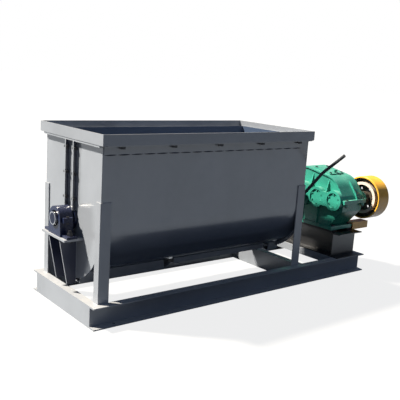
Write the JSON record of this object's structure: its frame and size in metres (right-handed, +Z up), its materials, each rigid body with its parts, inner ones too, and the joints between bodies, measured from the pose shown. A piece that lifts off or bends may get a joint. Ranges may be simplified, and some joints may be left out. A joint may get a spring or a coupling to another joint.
{
  "type": "fertilizer mixer",
  "caption": "Open-topped U-trough ribbon mixer on a channel base, driven by a belt pulley through a gear reducer, with a lever-worked bottom gate.",
  "frame": {"origin": "on the floor, at the centre of the four anchor holes in the base rails", "axes": "+X along the agitator shaft towards the gear reducer, +Y away from the hand lever, +Z up"},
  "size_m": [2.456, 0.9171, 1.05],
  "materials": {
    "frame_paint": "slate grey enamel on rolled sections",
    "trough_paint": "slate grey enamel on bent sheet",
    "bearing_paint": "dark blue-grey paint on cast iron",
    "bolt_steel": "black oxide",
    "bearing_steel": "ground",
    "reducer_paint": "green machine enamel on a casting",
    "packing_steel": "black painted bar",
    "pulley_paint": "yellow-orange enamel",
    "shaft_steel": "turned",
    "ribbon_steel": "slate grey enamel",
    "coupling_iron": "dark paint",
    "lever_paint": "dark grey enamel, worn bright"
  },
  "bodies": {
    "frame": {"rail_front": "frame_paint", "rail_back": "frame_paint", "end_channel_left": "frame_paint", "end_channel_right": "frame_paint", "cross_channel_middle": "frame_paint", "cross_channel_flat": "frame_paint", "stand_channel_front": "frame_paint", "stand_channel_back": "frame_paint", "stand_beam_left": "frame_paint", "stand_beam_right": "frame_paint", "packing_bars": "packing_steel", "post_front_left": "frame_paint", "post_back_left": "frame_paint", "post_front_right": "frame_paint", "post_back_right": "frame_paint", "trough_shell": "trough_paint", "end_plate_left": "trough_paint", "end_plate_right": "trough_paint", "slot_cover_left": "trough_paint", "slot_cover_right": "trough_paint", "slot_cover_bolts": "bolt_steel", "rim_frame": "frame_paint", "rim_bands": "trough_paint", "rim_bolts": "bolt_steel", "rim_ledges": "trough_paint", "shaft_seals": "bearing_paint", "keels": "trough_paint", "gate_hinge_lugs": "frame_paint", "bearing_bracket_left": "frame_paint", "bearing_bracket_right": "frame_paint", "plummer_base_left": "bearing_paint", "plummer_cap_left": "bearing_paint", "plummer_base_right": "bearing_paint", "plummer_cap_right": "bearing_paint", "plummer_bolts": "bolt_steel", "bearing_outer_rings": "bearing_steel", "reducer_base": "reducer_paint", "reducer_cover": "reducer_paint", "reducer_bearing_caps": "reducer_paint", "reducer_hatch": "reducer_paint", "reducer_bolts": "bolt_steel", "side_bracket": "pulley_paint"},
    "rotor": {"main_shaft": "shaft_steel", "ribbon_arms": "ribbon_steel", "outer_ribbon": "ribbon_steel", "inner_ribbon": "ribbon_steel", "bearing_inner_rings": "bearing_steel", "coupling_hub_mixer": "coupling_iron", "coupling_hub_reducer": "coupling_iron", "coupling_bolts": "bolt_steel", "output_shaft": "shaft_steel", "output_gear": "shaft_steel"},
    "countershaft": {"countershaft": "shaft_steel", "countershaft_gear": "shaft_steel"},
    "input": {"input_shaft": "shaft_steel", "belt_pulley": "pulley_paint"},
    "gate": {"gate_flap": "trough_paint", "gate_straps": "trough_paint", "gate_shaft": "shaft_steel", "gate_lever": "lever_paint"}
  },
  "joints": [
    {"name": "mixer_spin", "type": "hinge", "parent": "frame", "child": "rotor", "pos_m": [0, 0, 0.545], "axis": [1, 0, 0], "continuous": true},
    {"name": "countershaft_spin", "type": "hinge", "parent": "frame", "child": "countershaft", "pos_m": [0.95, -0.15, 0.545], "axis": [1, 0, 0], "continuous": true},
    {"name": "input_spin", "type": "hinge", "parent": "frame", "child": "input", "pos_m": [1.189, -0.308, 0.545], "axis": [1, 0, 0], "continuous": true},
    {"name": "gate_swing", "type": "hinge", "parent": "frame", "child": "gate", "pos_m": [0, 0.14347, 0.18989], "axis": [1, 0, 0], "range_deg": [0, 40]}
  ],
  "couplings": [
    {"joint": "countershaft_spin", "follows": "mixer_spin", "ratio": -3.6154},
    {"joint": "input_spin", "follows": "mixer_spin", "ratio": 7.3698}
  ]
}
